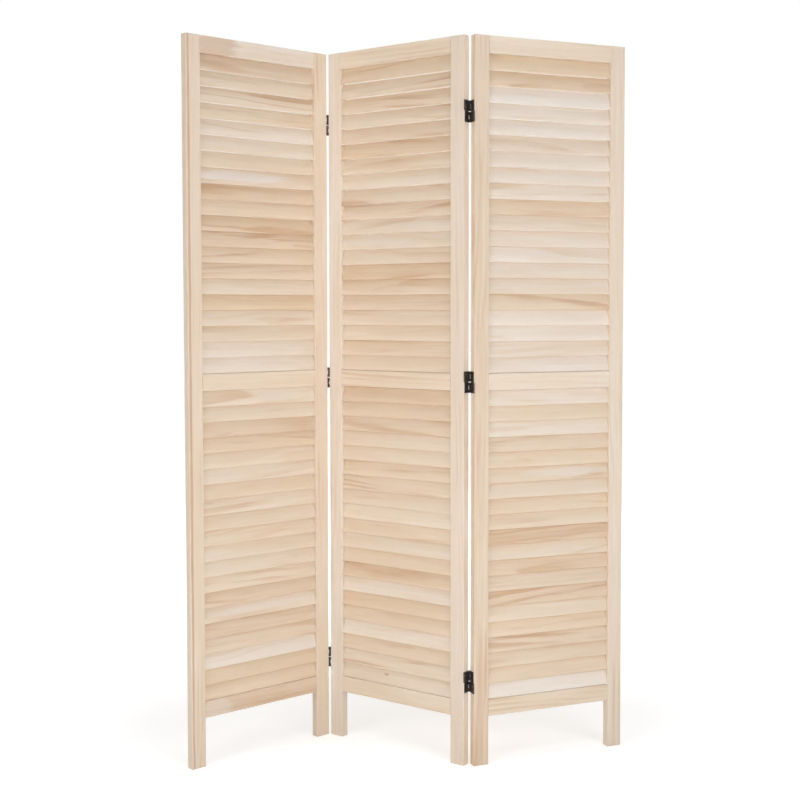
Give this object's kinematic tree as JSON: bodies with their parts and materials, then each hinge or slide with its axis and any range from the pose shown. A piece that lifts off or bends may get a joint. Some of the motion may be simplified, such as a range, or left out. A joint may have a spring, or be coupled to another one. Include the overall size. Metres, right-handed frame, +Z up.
{
  "type": "folding screen",
  "caption": "Free-standing wooden louvre screen: panels of slanted slats in frames on legs, joined by two-way hinges so that it stands in a zigzag and folds flat.",
  "frame": {"origin": "on the floor, below the middle of the plan of the screen folded to its zigzag", "axes": "+X to the right across the screen, +Y from its front to its back, +Z up"},
  "size_m": [1.039, 0.2784, 1.7],
  "materials": {
    "frame_wood": "planed pale hardwood, unvarnished, with broken edges",
    "slat_wood": "planed pale hardwood, unvarnished, boards of mixed tone",
    "hinge_metal": "dark bronze lacquer on pressed steel, semi-gloss",
    "pin_metal": "dark bronze lacquer on steel wire",
    "screw_metal": "dark bronze lacquer on steel screws"
  },
  "bodies": {
    "middle_panel": {"left_hinge_bottom_middle_leaf": "hinge_metal", "left_hinge_bottom_upper_link": "hinge_metal", "left_hinge_centre_middle_leaf": "hinge_metal", "left_hinge_centre_upper_link": "hinge_metal", "left_hinge_middle_pins": "pin_metal", "left_hinge_middle_screws": "screw_metal", "left_hinge_top_middle_leaf": "hinge_metal", "left_hinge_top_upper_link": "hinge_metal", "middle_panel_bottom_rail": "frame_wood", "middle_panel_left_stile": "frame_wood", "middle_panel_lower_slats": "slat_wood", "middle_panel_middle_rail": "frame_wood", "middle_panel_right_stile": "frame_wood", "middle_panel_top_rail": "frame_wood", "middle_panel_upper_slats": "slat_wood", "right_hinge_bottom_middle_leaf": "hinge_metal", "right_hinge_bottom_upper_link": "hinge_metal", "right_hinge_centre_middle_leaf": "hinge_metal", "right_hinge_centre_upper_link": "hinge_metal", "right_hinge_middle_pins": "pin_metal", "right_hinge_middle_screws": "screw_metal", "right_hinge_top_middle_leaf": "hinge_metal", "right_hinge_top_upper_link": "hinge_metal"},
    "left_panel": {"left_hinge_bottom_lower_link": "hinge_metal", "left_hinge_bottom_outer_leaf": "hinge_metal", "left_hinge_centre_lower_link": "hinge_metal", "left_hinge_centre_outer_leaf": "hinge_metal", "left_hinge_outer_pins": "pin_metal", "left_hinge_outer_screws": "screw_metal", "left_hinge_top_lower_link": "hinge_metal", "left_hinge_top_outer_leaf": "hinge_metal", "left_panel_bottom_rail": "frame_wood", "left_panel_left_stile": "frame_wood", "left_panel_lower_slats": "slat_wood", "left_panel_middle_rail": "frame_wood", "left_panel_right_stile": "frame_wood", "left_panel_top_rail": "frame_wood", "left_panel_upper_slats": "slat_wood"},
    "right_panel": {"right_hinge_bottom_lower_link": "hinge_metal", "right_hinge_bottom_outer_leaf": "hinge_metal", "right_hinge_centre_lower_link": "hinge_metal", "right_hinge_centre_outer_leaf": "hinge_metal", "right_hinge_outer_pins": "pin_metal", "right_hinge_outer_screws": "screw_metal", "right_hinge_top_lower_link": "hinge_metal", "right_hinge_top_outer_leaf": "hinge_metal", "right_panel_bottom_rail": "frame_wood", "right_panel_left_stile": "frame_wood", "right_panel_lower_slats": "slat_wood", "right_panel_middle_rail": "frame_wood", "right_panel_right_stile": "frame_wood", "right_panel_top_rail": "frame_wood", "right_panel_upper_slats": "slat_wood"}
  },
  "joints": [
    {"name": "left_fold", "type": "hinge", "parent": "middle_panel", "child": "left_panel", "pos_m": [-0.19996, 0.11939, 0.85], "axis": [0, 0, 1], "range_deg": [-76.2, 103.8]},
    {"name": "right_fold", "type": "hinge", "parent": "middle_panel", "child": "right_panel", "pos_m": [0.1402, -0.09968, 0.85], "axis": [0, 0, 1], "range_deg": [-58.3, 121.7]}
  ]
}
